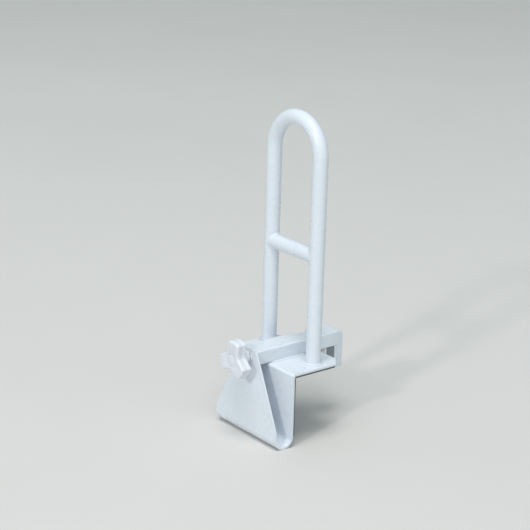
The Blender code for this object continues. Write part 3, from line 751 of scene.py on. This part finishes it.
def arm_weld():
    """Rippled fillet up one side of the arm, over its top and down the other, at the jaw's near end."""
    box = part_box("weld_arm_jaw")
    half = (ARM[1].x - ARM[0].x) / 2
    corner = ARM_CORNER
    top = ARM[1].z
    low = box[0].z
    path = []
    for k in range(24):
        path.append((half, low + (top - corner - low) * k / 24, 0.0, 0.0))
    for sx, start in ((1, 0.0), (-1, 90.0)):
        for i in range(9):
            path.append((sx * (half - corner), top - corner, start + 90.0 * i / 8, corner))
        if sx > 0:
            for k in range(1, 44):
                path.append((half - corner - 2 * (half - corner) * k / 44, top - corner, 90.0, corner))
    for k in range(23, -1, -1):
        path.append((-half, low + (top - corner - low) * k / 24, 180.0, 0.0))
    rings = []
    total = len(path) - 1
    for index, (cx, cz, angle, base) in enumerate(path):
        a = math.radians(angle)
        end = min(1.0, 0.25 + 8 * index / total, 0.25 + 8 * (1 - index / total))
        wave = ripple(2 * math.pi * index / total, 30, 0.22 * MM)
        thick = (1.45 * MM - wave) * end
        deep = (1.75 * MM - wave) * end
        ring = []
        for k in range(6):
            t = math.pi / 2 * k / 5
            scale = 1.0 if k in (0, 5) else 0.66 + 0.14 * math.sin(2 * t)
            reach = base + GAP + thick * scale * math.sin(t)
            y = box[1].y - deep * scale * math.cos(t)
            ring.append((cx + reach * math.cos(a), y, cz + reach * math.sin(a)))
        reach = base + GAP
        ring.append((cx + reach * math.cos(a), box[1].y, cz + reach * math.sin(a)))
        rings.append(ring)
    return loft(rings)


piece("arm_weld", arm_weld(), COAT_WELD, "jaw", ["weld_arm_jaw"])


# ---------------------------------------------------------------- rubber
def rubber_block():
    """Body of the jaw block, slightly waisted between the facing and the plate behind it."""
    lo, hi = PAD
    rings = []
    for k in range(9):
        share = k / 8
        inset = 0.35 * MM * math.sin(math.pi * share)
        y = lo.y + (hi.y - lo.y) * share
        drawn_in = Vector((inset, 0, inset))
        rings.append(rounded_ring(lo + drawn_in, hi - drawn_in, y, 1.2 * MM))
    return loft(rings)


def grip_facing():
    """Pale facing; its gripping side is cut by shallow level grooves."""
    lo, hi = FACING
    pitch = 4.0 * MM
    deep = 0.4 * MM
    profile = [(hi.y, lo.z), (hi.y, hi.z), (lo.y, hi.z)]
    count = int((hi.z - lo.z - 4.0 * MM) / pitch)
    start = (hi.z + lo.z) / 2 + pitch * (count - 1) / 2
    for k in range(count):
        z = start - pitch * k
        profile += [(lo.y, z + 0.6 * MM), (lo.y + deep, z + 0.3 * MM)]
        profile += [(lo.y + deep, z - 0.3 * MM), (lo.y, z - 0.6 * MM)]
    profile.append((lo.y, lo.z))
    return loft([[(x, y, z) for y, z in profile] for x in (lo.x, hi.x)])


block = piece("jaw_block", rubber_block(), BLOCK_RUBBER_WITH_PAINTED_SHADE,
              "jaw", ["jaw_pad"], 0.4 * MM, 2, 50.0)
drill(block, screw_bores(PAD[1].y - 8 * MM, PAD[1].y + 2 * MM, 20))
piece("grip_facing", grip_facing(), PALE_RUBBER, "jaw", ["pad_facing"], 0.2 * MM, 2, 30.0)


def ribbed_liner(box, face, pitch):
    """Thin liner with shallow ribs along X on its working face; face is (axis, side)."""
    lo, hi = box
    axis, side = face
    deep = 0.45 * MM
    other = "y" if axis == "z" else "z"
    flat = getattr(hi if side < 0 else lo, axis)
    work = getattr(lo if side < 0 else hi, axis)
    start, end = getattr(lo, other), getattr(hi, other)
    count = int((end - start - 4.0 * MM) / pitch)
    first = (start + end) / 2 - pitch * (count - 1) / 2
    line = [(flat, end), (flat, start), (work, start)]
    for k in range(count):
        c = first + pitch * k
        line += [(work, c - 0.7 * MM), (work - side * deep, c - 0.35 * MM)]
        line += [(work - side * deep, c + 0.35 * MM), (work, c + 0.7 * MM)]
    line.append((work, end))
    points = [(v, u) if axis == "z" else (u, v) for u, v in line]
    return loft([[(x, y, z) for y, z in points] for x in (lo.x, hi.x)])


def corner_tool(side):
    """Prism that takes a far corner off the rim liner, in line with the plate."""
    half, far = RIM[1].x, RIM[1].y
    cut_x, cut_y = 15.8 * MM, 12.7 * MM
    outline = [(half - 1.3 * cut_x, far + 0.3 * cut_y), (half + 0.3 * cut_x, far - 1.3 * cut_y)]
    outline.append((half + 20 * MM, far + 20 * MM))
    return loft([[(side * x, y, z) for x, y in outline] for z in (RIM[0].z - 2 * MM, RIM[1].z + 2 * MM)])


RIB_PITCH = 4.2 * MM
liner = piece("rim_liner", ribbed_liner(RIM, ("z", -1), RIB_PITCH), RUBBER,
              "bracket", ["rim_pad"], 0.3 * MM, 2, 30.0)
drill(liner, [corner_tool(-1), corner_tool(1)])
piece("wall_liner", ribbed_liner(WALL, ("y", 1), RIB_PITCH), RUBBER,
      "bracket", ["wall_pad"], 0.3 * MM, 2, 30.0)


# ---------------------------------------------------------------- hardware of the jaw
def carrier_plate():
    """Plate behind the jaw block; both pad screws pass through it."""
    lo, hi = CARRIER
    return loft([rounded_ring(lo, hi, y, 1.5 * MM) for y in (lo.y, hi.y)])


plate = piece("carrier_plate", carrier_plate(), COAT,
              "jaw", ["pad_plate"], 0.4 * MM, 2, 40.0)
drill(plate, screw_bores(CARRIER[0].y - 2 * MM, CARRIER[1].y + 2 * MM, 24))


def cross_screw(box):
    """Pan-head screw with a ridged shank; the cross recess is cut later."""
    z = (box[0].z + box[1].z) / 2
    root, crest = 2.05 * MM, 2.45 * MM
    head_r = (box[1].x - box[0].x) / 2
    tip, crown = box[0].y, box[1].y
    under = crown - 2.5 * MM
    profile = [(tip, 1.2 * MM), (tip + 0.8 * MM, 2.2 * MM)]
    y = tip + 1.2 * MM
    while y < under - 1.6 * MM:
        profile += [(y, root), (y + 0.25 * MM, crest), (y + 0.40 * MM, crest), (y + 0.65 * MM, root)]
        y += 0.8 * MM
    profile += [(under - 0.6 * MM, 2.3 * MM), (under, 2.3 * MM)]
    profile += [(under, head_r - 0.2 * MM), (under + 0.3 * MM, head_r)]
    for k in range(1, 9):
        t = math.pi / 2 * k / 8
        y = under + 0.6 * MM + 1.9 * MM * math.sin(t)
        profile.append((y, 0.15 * MM + (head_r - 0.15 * MM) * math.cos(t)))
    return lathe_y(profile, 36, z)


def recess_tools(crown, z):
    """Two crossing wedges for the recess in a screw's head."""
    tools = []
    for w, h in ((5.0, 1.1), (1.1, 5.0)):
        narrow = rounded_rect(w * 0.5 * MM, h * 0.5 * MM, 0.1 * MM, 2)
        broad = rounded_rect(w * MM, h * MM, 0.2 * MM, 2)
        tip = [(a, crown - 1.3 * MM, z + b) for a, b in narrow]
        mouth = [(a, crown + 0.5 * MM, z + b) for a, b in broad]
        tools.append(loft([tip, mouth]))
    return tools


def spacer_tube(box, z):
    """Short tube with eased rims round a pad screw."""
    outer = (box[1].x - box[0].x) / 2
    y0, y1 = box[0].y, box[1].y
    ease = 0.4 * MM
    profile = [(y0, PAD_HOLE_R), (y0, outer - ease), (y0 + ease, outer)]
    profile += [(y1 - ease, outer), (y1, outer - ease), (y1, PAD_HOLE_R)]
    return lathe_y(profile, 40, z, cyclic=True)


for box, label in SCREWS:
    z = (box[0].z + box[1].z) / 2
    screw = piece("pan_screw_" + label, cross_screw(box), ZINC,
                  "jaw", ["pad_screw_" + label])
    drill(screw, recess_tools(box[1].y, z))
    for edge in screw.data.edges:
        edge.use_edge_sharp = False
    screw.data.set_sharp_from_angle(angle=math.radians(40))
    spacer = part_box("pad_spacer_" + label)
    piece("spacer_tube_" + label, spacer_tube(spacer, z), ZINC,
          "jaw", ["pad_spacer_" + label])


def nut():
    """Flat-sided block that fills the end of the arm."""
    lo, hi = NUT
    return loft([rounded_ring(lo, hi, y, 0.8 * MM) for y in (lo.y, hi.y)])


NUT_EASE = 0.6 * MM
threaded = piece("threaded_nut", nut(), ZINC_FLAT, "jaw", ["nut_block"], 0.3 * MM, 2, 50.0)
countersunk = [(NUT[0].y - NUT_EASE, SCREW_BORE + 2 * NUT_EASE), (NUT[0].y + NUT_EASE, SCREW_BORE),
               (NUT[1].y - NUT_EASE, SCREW_BORE), (NUT[1].y + NUT_EASE, SCREW_BORE + 2 * NUT_EASE)]
drill(threaded, [lathe_y(countersunk, 48, AXIS_Z)])


# ---------------------------------------------------------------- knob group
LOBES = 3
PHASE = math.radians(82.0)
HALF_LOBE = math.pi / LOBES
LOBE_REACH = 28.8 * MM
LOBE_SIDE = 13.3 * MM
LOBE_CORNER = 3.5 * MM
SIDE_NORMAL = math.radians(85.0)
HOLLOW_R = 9.0 * MM
CORNER_AT = LOBE_REACH - LOBE_CORNER
END_ANGLE = SIDE_NORMAL - math.acos((LOBE_SIDE - LOBE_CORNER) / CORNER_AT)
HOLLOW_AT = (LOBE_SIDE + HOLLOW_R) / math.cos(SIDE_NORMAL - HALF_LOBE)
KNOB_ROUND = 2.4 * MM
BODY_DEPTH = 16.5 * MM
HUB_R = 10.8 * MM


def bearing(distance, angle, radius):
    """Direction in which an arc meets the flat side; distance and angle place the arc's centre."""
    x = distance * math.cos(angle) + radius * math.cos(SIDE_NORMAL)
    z = distance * math.sin(angle) + radius * math.sin(SIDE_NORMAL)
    return math.atan2(z, x)


def lobe_radius(off, inset):
    """Outline at an angle off a lobe's middle: end arc, corner, flat side, hollow."""
    corner = LOBE_CORNER - inset
    hollow = HOLLOW_R + inset
    if off < END_ANGLE:
        return LOBE_REACH - inset
    if off < bearing(CORNER_AT, END_ANGLE, corner):
        turn = off - END_ANGLE
        return CORNER_AT * math.cos(turn) + math.sqrt(corner ** 2 - (CORNER_AT * math.sin(turn)) ** 2)
    if off < bearing(HOLLOW_AT, HALF_LOBE, -hollow):
        return (LOBE_SIDE - inset) / math.cos(SIDE_NORMAL - off)
    turn = HALF_LOBE - off
    return HOLLOW_AT * math.cos(turn) - math.sqrt(hollow ** 2 - (HOLLOW_AT * math.sin(turn)) ** 2)


def lobe_stops():
    """Angles across one lobe, close together round the corners and in the hollows."""
    corner_end = bearing(CORNER_AT, END_ANGLE, LOBE_CORNER)
    hollow_start = bearing(HOLLOW_AT, HALF_LOBE, -HOLLOW_R)
    half = [END_ANGLE * k / 5 for k in range(5)]
    half += [END_ANGLE + (corner_end - END_ANGLE) * k / 10 for k in range(11)]
    half += [corner_end + (hollow_start - corner_end) * k / 5 for k in range(1, 5)]
    half += [hollow_start + (HALF_LOBE - hollow_start) * k / 14 for k in range(15)]
    return [-off for off in reversed(half[1:-1])] + half


STOPS = lobe_stops()


def knob_ring(y, radius_at):
    """Ring about the knob's axis; the radius depends on the angle off the nearest lobe's middle."""
    ring = []
    for lobe in range(LOBES):
        middle = PHASE + 2.0 * HALF_LOBE * lobe
        for off in STOPS:
            r = radius_at(abs(off))
            ring.append((r * math.cos(middle + off), y, AXIS_Z + r * math.sin(middle + off)))
    return ring


def knob_star():
    """Moulded star: eased rims, split line round the lobes, hub, cap seat and screw bore."""
    face = KNOB[0].y
    back = face + BODY_DEPTH
    hub_end = KNOB[1].y
    cap_r = (CAP[1].x - CAP[0].x) / 2 + 0.12 * MM
    seat = face + SEAT_DEPTH

    def outline(y, inset):
        return knob_ring(y, lambda off: lobe_radius(off, inset))

    def circle(r, y):
        return knob_ring(y, lambda off: r)

    rings = []
    for i in range(9):
        a = math.pi / 2 * i / 8
        rings.append(outline(face + KNOB_ROUND * (1 - math.cos(a)), KNOB_ROUND * (1 - math.sin(a))))
    mid = face + BODY_DEPTH * 0.56
    for step, inset in ((-0.30, 0.0), (-0.12, 0.10), (0.12, 0.10), (0.30, 0.0)):
        rings.append(outline(mid + step * MM, inset * MM))
    for i in range(7):
        a = math.pi / 2 * i / 6
        rings.append(outline(back - 1.6 * MM + 1.6 * MM * math.sin(a), 1.6 * MM * (1 - math.cos(a))))
    for i in range(6):
        a = math.pi / 2 * i / 5
        rings.append(circle(HUB_R + MM - MM * math.sin(a), back + MM - MM * math.cos(a)))
    rings += [circle(HUB_R, hub_end - 0.6 * MM), circle(HUB_R - 0.2 * MM, hub_end - 0.2 * MM)]
    rings += [circle(HUB_R - 0.6 * MM, hub_end), circle(SCREW_BORE + 0.4 * MM, hub_end)]
    rings += [circle(SCREW_BORE, hub_end - 0.4 * MM), circle(SCREW_BORE, seat), circle(cap_r, seat)]
    rings += [circle(cap_r, face + 0.35 * MM), circle(cap_r + 0.12 * MM, face + 0.1 * MM)]
    rings.append(circle(cap_r + 0.3 * MM, face))
    return loft(rings, cyclic=True)


piece("knob_star", knob_star(), PLASTIC, "knob", ["star_knob"], sharp=50.0)


def knob_button():
    """Snap-in cap, gently domed, that closes the screw's seat."""
    r = (CAP[1].x - CAP[0].x) / 2
    y0, y1 = CAP[0].y, CAP[1].y
    edge = KNOB[0].y
    profile = [(y1, r - 0.3 * MM), (y1 - 0.3 * MM, r), (edge + 0.45 * MM, r)]
    profile += [(edge + 0.15 * MM, r - 0.12 * MM), (edge, r - 0.45 * MM)]
    for k in range(1, 11):
        t = k / 11
        profile.append((edge - (edge - y0) * (1 - (1 - t) ** 2), (r - 0.45 * MM) * (1 - t)))
    return lathe_y(profile, 72, AXIS_Z)


piece("knob_button", knob_button(), PLASTIC, "knob", ["knob_cap"], sharp=60.0)


def screw_rings():
    """Rings of the hex head, plain neck and clip groove, then those of the helix up to the tip."""
    count = 36
    pitch = 3.0 * MM
    root = SCREW_R - 1.5 * MM
    head0 = SCREW[0].y
    head1 = KNOB[0].y + SEAT_DEPTH - GAP
    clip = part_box("retaining_clip")
    tip = SCREW[1].y

    def hexagon(y, across_flats):
        ring = []
        for i in range(count):
            a = 2 * math.pi * i / count
            local = (a % (math.pi / 3)) - math.pi / 6
            r = 0.5 * across_flats / math.cos(local)
            ring.append((r * math.cos(a), y, AXIS_Z + r * math.sin(a)))
        return ring

    flats = 15.0 * MM
    rings = [hexagon(head0, flats - 1.6 * MM), hexagon(head0 + 0.8 * MM, flats), hexagon(head1, flats)]
    groove = (clip[0].y - 0.1 * MM, clip[1].y + 0.1 * MM)
    groove_r = SCREW_R - 0.8 * MM
    for y, r in ((head1, SCREW_R), (groove[0], SCREW_R), (groove[0], groove_r),
                 (groove[1], groove_r), (groove[1], SCREW_R)):
        rings.append(ring_y(r, y, count, AXIS_Z))
    start = clip[1].y + 0.4 * MM
    end = tip - 0.8 * MM
    profile = ((0.0, 1.0), (0.34, 1.0), (0.50, 0.0), (0.84, 0.0))
    turns = int((tip - 1.5 * MM - start) / pitch)
    lead = []
    for turn in range(turns):
        for share, high in profile:
            ring = []
            for i in range(count):
                y = start + pitch * (turn + share + i / count)
                lead_in = max(0.0, (y - start) / (1.2 * pitch))
                run_out = max(0.0, (end - y) / pitch)
                fade = min(1.0, lead_in, run_out)
                r = SCREW_R - (SCREW_R - root) * (1.0 - high) * fade
                a = 2 * math.pi * i / count
                ring.append((r * math.cos(a), min(y, end), AXIS_Z + r * math.sin(a)))
            lead.append(ring)
    return rings, lead, tip


def screw_mesh():
    """Join the turned rings to the helix; the helix is one long strip wound round the axis."""
    rings, lead, tip = screw_rings()
    bm = bmesh.new()
    rows = [[bm.verts.new(p) for p in ring] for ring in rings]
    count = len(rows[0])
    for near, far in zip(rows, rows[1:]):
        for j in range(count):
            k = (j + 1) % count
            bm.faces.new((near[j], near[k], far[k], far[j]))
    bm.faces.new(rows[0])
    strip = [[bm.verts.new(p) for p in ring] for ring in lead]
    per_turn = 4
    total = len(strip)
    for i in range(total - 1):
        for j in range(count - 1):
            bm.faces.new((strip[i][j], strip[i][j + 1], strip[i + 1][j + 1], strip[i + 1][j]))
        if i + per_turn + 1 < total:
            above, beyond = strip[i + per_turn], strip[i + per_turn + 1]
            bm.faces.new((strip[i][count - 1], above[0], beyond[0], strip[i + 1][count - 1]))
    first = rows[-1]
    ahead = strip[0]
    for j in range(count - 1):
        bm.faces.new((first[j], first[j + 1], ahead[j + 1], ahead[j]))
    lip = [strip[k][0] for k in range(per_turn + 1)]
    bm.faces.new([first[count - 1], first[0]] + lip + [strip[0][count - 1]])
    last = strip[-1]
    end_ring = [bm.verts.new(p) for p in ring_y(SCREW_R - 1.2 * MM, tip, count, AXIS_Z)]
    for j in range(count - 1):
        bm.faces.new((last[j], last[j + 1], end_ring[j + 1], end_ring[j]))
    back = [strip[total - 1 - k][count - 1] for k in range(per_turn + 1)]
    closing = [last[count - 1], end_ring[count - 1], end_ring[0], last[0]]
    bm.faces.new(closing + list(reversed(back[1:])))
    bm.faces.new(list(reversed(end_ring)))
    return bm


piece("clamp_screw_threaded", screw_mesh(), ZINC, "knob", ["clamp_screw"], sharp=30.0)


def washer(box):
    """Flat ring on the screw with eased edges."""
    r = (box[1].x - box[0].x) / 2
    y0, y1 = box[0].y, box[1].y
    ease = 0.3 * MM
    shy = 0.3 * ease
    profile = [(y0, SCREW_BORE + ease), (y0, r - ease), (y0 + shy, r - shy), (y0 + ease, r)]
    profile += [(y1 - ease, r), (y1 - shy, r - shy), (y1, r - ease), (y1, SCREW_BORE + ease)]
    profile += [(y1 - ease, SCREW_BORE), (y0 + ease, SCREW_BORE)]
    return lathe_y(profile, 72, AXIS_Z, cyclic=True)


piece("steel_washer", washer(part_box("thrust_washer")), ZINC, "knob", ["thrust_washer"])
piece("slip_washer", washer(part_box("nylon_washer")), NYLON, "knob", ["nylon_washer"])


def split_clip():
    """Retaining ring, open over 60 degrees, with small swellings at its ends."""
    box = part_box("retaining_clip")
    y0, y1 = box[0].y, box[1].y
    inner = 4.5 * MM
    steps = 60
    rings = []
    for i in range(steps + 1):
        a = math.radians(300 + 300 * i / steps)
        ends = min(i, steps - i)
        outer = 7.6 * MM + 0.4 * MM * max(0.0, 1 - ends / 5)
        ring = []
        for r, y in ((inner, y0), (outer, y0), (outer, y1), (inner, y1)):
            ring.append((r * math.cos(a), y, AXIS_Z + r * math.sin(a)))
        rings.append(ring)
    return loft(rings)


piece("split_clip", split_clip(), ZINC_FLAT, "knob", ["retaining_clip"], 0.15 * MM, 2, 40.0)


# ---------------------------------------------------------------- floor, light, camera
def floor():
    """Broad floor just under the object."""
    bm = bmesh.new()
    low = CAD_BOX[0].z - 0.2 * MM
    steps = 12
    reach = 14.0
    rows = []
    for i in range(steps + 1):
        row = []
        for j in range(steps + 1):
            x, y = (-reach + 2 * reach * k / steps for k in (j, i))
            row.append(bm.verts.new((x, y, low)))
        rows.append(row)
    for i in range(steps):
        for j in range(steps):
            bm.faces.new((rows[i][j], rows[i][j + 1], rows[i + 1][j + 1], rows[i + 1][j]))
    obj = piece("studio_floor", bm, studio_floor("pale_floor"), None, None)


floor()


def lamp(name, azimuth, elevation, distance, size, energy, colour):
    """Area lamp that faces the middle of the object; azimuth is from -Y towards +X."""
    centre = (CAD_BOX[0] + CAD_BOX[1]) / 2
    a, e = math.radians(azimuth), math.radians(elevation)
    away = Vector((math.sin(a) * math.cos(e), -math.cos(a) * math.cos(e), math.sin(e)))
    data = bpy.data.lights.new(name, "AREA")
    data.shape = "DISK"
    data.size = size
    data.energy = energy
    data.color = colour
    obj = bpy.data.objects.new(name, data)
    obj.location = centre + away * distance
    obj.rotation_mode = "QUATERNION"
    obj.rotation_quaternion = away.to_track_quat("Z", "Y")
    bpy.context.scene.collection.objects.link(obj)


lamp("key_light", 18.0, 27.0, 10.0, 1.05, 278.0, (1.0, 0.99, 0.985))
lamp("top_light", 40.0, 75.0, 10.0, 5.0, 500.0, (1.0, 0.995, 0.985))
lamp("fill_light", 60.0, 45.0, 10.0, 5.0, 152.0, (0.99, 1.0, 1.0))
lamp("side_light", 100.0, 15.0, 10.0, 4.6, 30.0, (1.0, 1.0, 1.0))
lamp("rim_light", 215.0, 45.0, 12.0, 6.0, 34.0, (0.98, 0.99, 1.0))

world = bpy.data.worlds.new("soft_room")
world.use_nodes = True
room = world.node_tree.nodes["Background"]
room.inputs["Color"].default_value = (0.88, 1.05, 1.07, 1.0)
room.inputs["Strength"].default_value = 0.385
bpy.context.scene.world = world
bpy.context.scene.view_settings.view_transform = "Standard"


CAMERA_PLACE = (1.6088, -1.3375, 0.8077)
CAMERA_ANGLES = (51.27, 17.69, 1.60)
CAMERA_LENS = 103.59


def camera():
    """Fixed view; the angles are azimuth from -Y towards +X, elevation and roll, in degrees."""
    azimuth, elevation, roll = (math.radians(angle) for angle in CAMERA_ANGLES)
    ahead = Vector((-math.sin(azimuth) * math.cos(elevation), math.cos(azimuth) * math.cos(elevation),
                    -math.sin(elevation)))
    level = Vector((math.cos(azimuth), math.sin(azimuth), 0.0))
    rise = level.cross(ahead)
    right = level * math.cos(roll) + rise * math.sin(roll)
    up = rise * math.cos(roll) - level * math.sin(roll)
    turn = Matrix((right, up, -ahead)).transposed().to_4x4()
    turn.translation = Vector(CAMERA_PLACE)
    data = bpy.data.cameras.new("studio_camera")
    data.sensor_width = 36.0
    data.lens = CAMERA_LENS
    data.clip_start = 0.05
    data.clip_end = 60.0
    obj = bpy.data.objects.new("studio_camera", data)
    obj.matrix_world = turn
    bpy.context.scene.collection.objects.link(obj)
    bpy.context.scene.camera = obj


camera()
